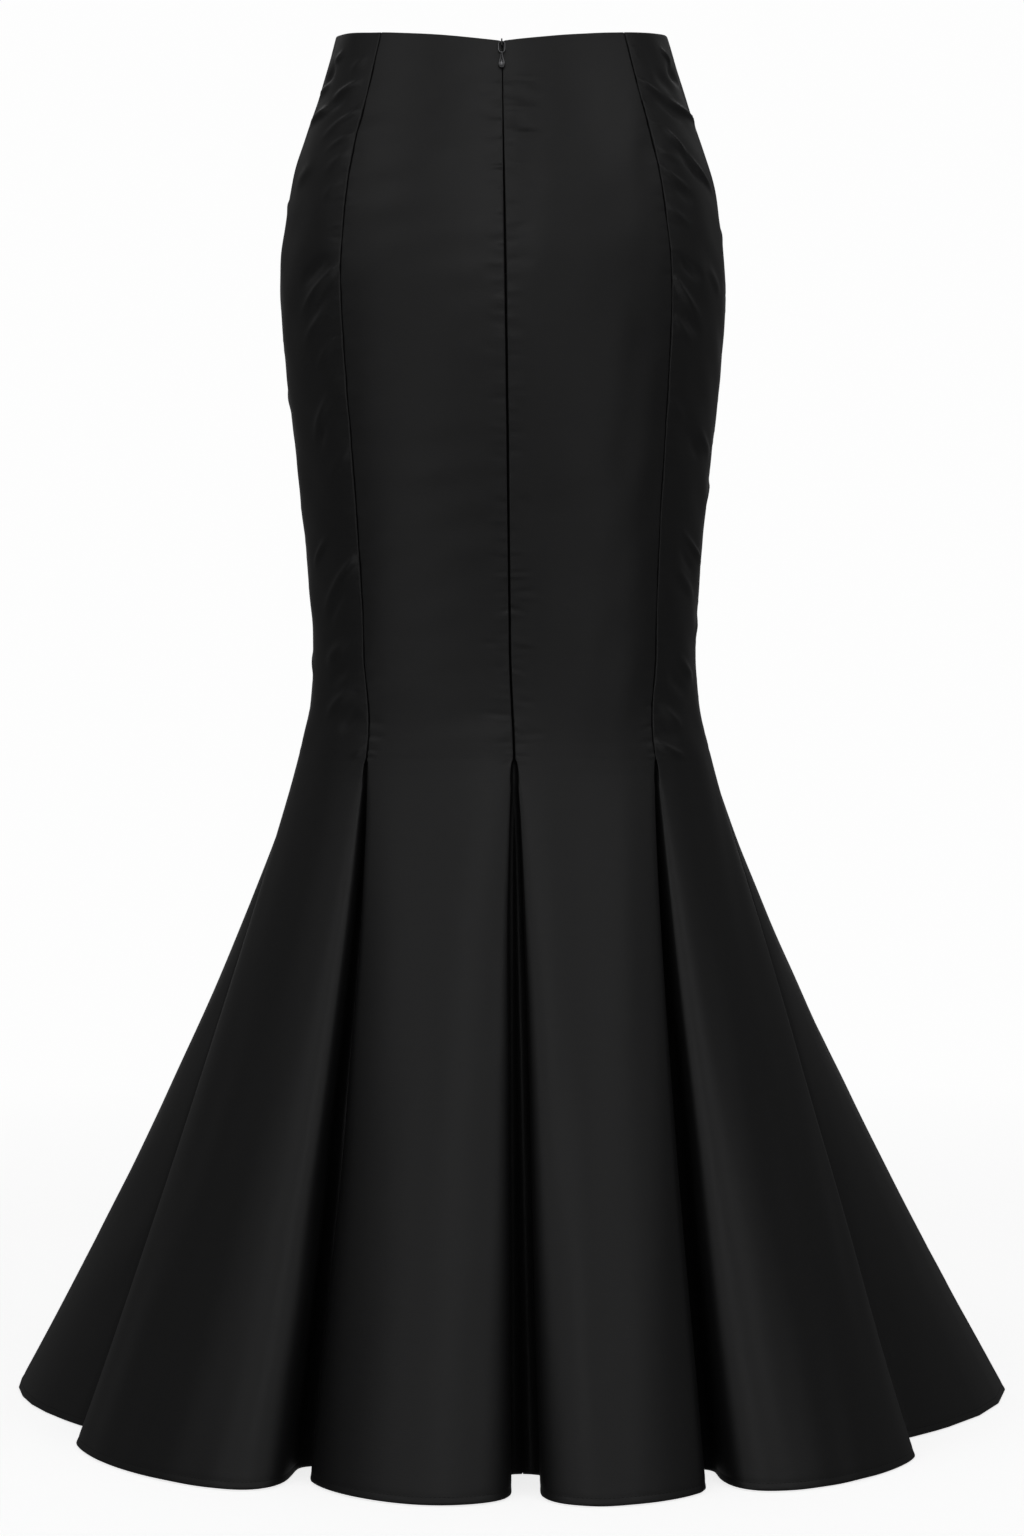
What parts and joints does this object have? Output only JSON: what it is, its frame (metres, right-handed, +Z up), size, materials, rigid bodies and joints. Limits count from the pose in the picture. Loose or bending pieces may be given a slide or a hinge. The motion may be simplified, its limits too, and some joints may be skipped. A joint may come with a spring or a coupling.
{
  "type": "mermaid fishtail skirt",
  "caption": "Full-length fitted skirt, narrow at the knee, with princess seams, a centre-back zip and inverted pleats flaring to the hem; worn form, hollow",
  "frame": {"origin": "Middle of the waist opening, level with the waist edge at the sides", "axes": "+Z up out of the waist, -Y out of the wearer's back where the zip is, -X to the wearer's left"},
  "size_m": [0.7558, 0.7575, 1.029],
  "materials": {
    "cloth": "black woven cloth with a soft sheen",
    "tape": "black knitted zip tape, matt",
    "slider_metal": "black enamel",
    "pull_metal": "glossy black enamel"
  },
  "bodies": {
    "skirt": {"centre_front": "cloth", "side_front_left": "cloth", "side_front_right": "cloth", "side_back_left": "cloth", "side_back_right": "cloth", "centre_back_left": "cloth", "centre_back_right": "cloth", "zip_tape_left": "tape", "zip_tape_right": "tape", "zip_slider": "slider_metal"},
    "pull": {"zip_pull": "pull_metal"}
  },
  "joints": [
    {"name": "pull_swing", "type": "hinge", "parent": "skirt", "child": "pull", "pos_m": [0.00009, -0.0983, -0.02522], "axis": [-1, 0, 0], "range_deg": [0, 160]}
  ]
}
